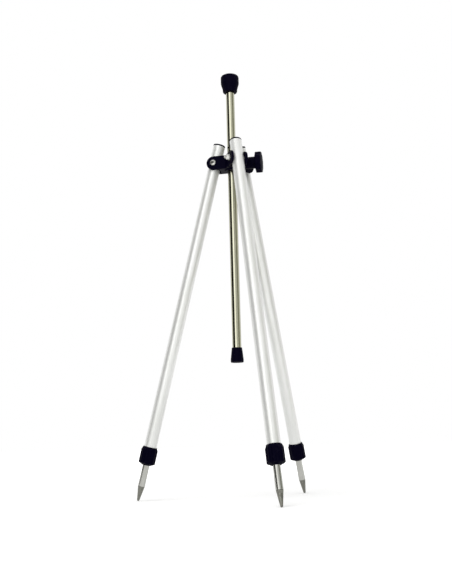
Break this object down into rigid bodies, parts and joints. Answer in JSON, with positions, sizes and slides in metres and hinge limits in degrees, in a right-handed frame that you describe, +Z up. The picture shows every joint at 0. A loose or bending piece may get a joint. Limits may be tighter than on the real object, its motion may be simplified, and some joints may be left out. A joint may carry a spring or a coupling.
{
  "type": "surf rod tripod",
  "caption": "Folding surf rod tripod with telescopic spiked legs, twist-lock collars and a sliding mast clamped by a thumb knob.",
  "frame": {"origin": "on the ground, below the middle of the open tripod's outline seen from above", "axes": "+Z up along the mast, +X from the mast towards the clamp knob, one leg along -X"},
  "size_m": [0.3222, 0.365, 0.8801],
  "materials": {
    "satin_aluminium": "drawn tube, satin anodised",
    "polished_steel": "polished bright",
    "zinc_steel": "bright zinc plated",
    "dark_steel": "turned, slightly darkened",
    "brass": "turned",
    "black_moulding": "moulded, low gloss",
    "black_rubber": "moulded, matt",
    "nylon": "natural moulded"
  },
  "bodies": {
    "hub": {"hub": "black_moulding", "clamp_insert": "brass", "pivot_bolt_left": "zinc_steel", "pivot_washer_left": "zinc_steel", "pivot_nut_left": "zinc_steel", "pivot_bolt_front": "zinc_steel", "pivot_washer_front": "zinc_steel", "pivot_nut_front": "zinc_steel", "pivot_bolt_rear": "zinc_steel", "pivot_washer_rear": "zinc_steel", "pivot_nut_rear": "zinc_steel"},
    "leg_left": {"leg_tube_left": "satin_aluminium", "leg_plug_left": "black_moulding", "pivot_bushing_left": "zinc_steel", "lock_sleeve_left": "nylon"},
    "collet_left": {"lock_collet_left": "nylon"},
    "collar_left": {"lock_collar_left": "black_moulding"},
    "inner_leg_left": {"inner_tube_left": "satin_aluminium", "guide_bush_left": "nylon", "spike_left": "dark_steel"},
    "leg_front": {"leg_tube_front": "satin_aluminium", "leg_plug_front": "black_moulding", "pivot_bushing_front": "zinc_steel", "lock_sleeve_front": "nylon"},
    "collet_front": {"lock_collet_front": "nylon"},
    "collar_front": {"lock_collar_front": "black_moulding"},
    "inner_leg_front": {"inner_tube_front": "satin_aluminium", "guide_bush_front": "nylon", "spike_front": "dark_steel"},
    "leg_rear": {"leg_tube_rear": "satin_aluminium", "leg_plug_rear": "black_moulding", "pivot_bushing_rear": "zinc_steel", "lock_sleeve_rear": "nylon"},
    "collet_rear": {"lock_collet_rear": "nylon"},
    "collar_rear": {"lock_collar_rear": "black_moulding"},
    "inner_leg_rear": {"inner_tube_rear": "satin_aluminium", "guide_bush_rear": "nylon", "spike_rear": "dark_steel"},
    "mast": {"mast_tube": "polished_steel", "mast_top_cap": "black_rubber", "mast_foot_cap": "black_rubber"},
    "clamp_pad": {"clamp_pad": "nylon"},
    "clamp_knob": {"clamp_knob": "black_moulding", "clamp_stud": "zinc_steel"}
  },
  "joints": [
    {"name": "leg_left_fold", "type": "hinge", "parent": "hub", "child": "leg_left", "pos_m": [0.01261, 0, 0.68351], "axis": [0, -1, 0], "range_deg": [0, 14.12]},
    {"name": "inner_leg_left_slide", "type": "slide", "parent": "leg_left", "child": "inner_leg_left", "axis": [-0.244, 0, -0.9698], "range_m": [0, 0.5]},
    {"name": "collet_left_slide", "type": "slide", "parent": "leg_left", "child": "collet_left", "axis": [-0.244, 0, -0.9698], "range_m": [0, 0.001]},
    {"name": "collar_left_turn", "type": "hinge", "parent": "collet_left", "child": "collar_left", "pos_m": [-0.13742, 0, 0.08709], "axis": [-0.244, 0, -0.9698], "range_deg": [0, 180]},
    {"name": "leg_front_fold", "type": "hinge", "parent": "hub", "child": "leg_front", "pos_m": [0.06751, -0.0317, 0.68351], "axis": [0.866, 0.5, 0], "range_deg": [0, 14.12]},
    {"name": "inner_leg_front_slide", "type": "slide", "parent": "leg_front", "child": "inner_leg_front", "axis": [0.122, -0.2113, -0.9698], "range_m": [0, 0.5]},
    {"name": "collet_front_slide", "type": "slide", "parent": "leg_front", "child": "collet_front", "axis": [0.122, -0.2113, -0.9698], "range_m": [0, 0.001]},
    {"name": "collar_front_turn", "type": "hinge", "parent": "collet_front", "child": "collar_front", "pos_m": [0.14253, -0.16163, 0.08709], "axis": [0.122, -0.2113, -0.9698], "range_deg": [0, 180]},
    {"name": "leg_rear_fold", "type": "hinge", "parent": "hub", "child": "leg_rear", "pos_m": [0.06751, 0.0317, 0.68351], "axis": [-0.866, 0.5, 0], "range_deg": [0, 14.12]},
    {"name": "inner_leg_rear_slide", "type": "slide", "parent": "leg_rear", "child": "inner_leg_rear", "axis": [0.122, 0.2113, -0.9698], "range_m": [0, 0.5]},
    {"name": "collet_rear_slide", "type": "slide", "parent": "leg_rear", "child": "collet_rear", "axis": [0.122, 0.2113, -0.9698], "range_m": [0, 0.001]},
    {"name": "collar_rear_turn", "type": "hinge", "parent": "collet_rear", "child": "collar_rear", "pos_m": [0.14253, 0.16163, 0.08709], "axis": [0.122, 0.2113, -0.9698], "range_deg": [0, 180]},
    {"name": "mast_slide", "type": "slide", "parent": "hub", "child": "mast", "axis": [0, 0, 1], "range_m": [-0.106, 0.365]},
    {"name": "clamp_pad_slide", "type": "slide", "parent": "hub", "child": "clamp_pad", "axis": [1, 0, 0], "range_m": [0, 0.00125]},
    {"name": "clamp_knob_turn", "type": "hinge", "parent": "clamp_pad", "child": "clamp_knob", "pos_m": [0.10421, 0, 0.68201], "axis": [1, 0, 0], "range_deg": [0, 360]}
  ],
  "couplings": [
    {"joint": "collet_left_slide", "follows": "collar_left_turn", "m_per_rad": 0.0003183},
    {"joint": "collet_front_slide", "follows": "collar_front_turn", "m_per_rad": 0.0003183},
    {"joint": "collet_rear_slide", "follows": "collar_rear_turn", "m_per_rad": 0.0003183},
    {"joint": "clamp_pad_slide", "follows": "clamp_knob_turn", "m_per_rad": 0.00019894}
  ]
}
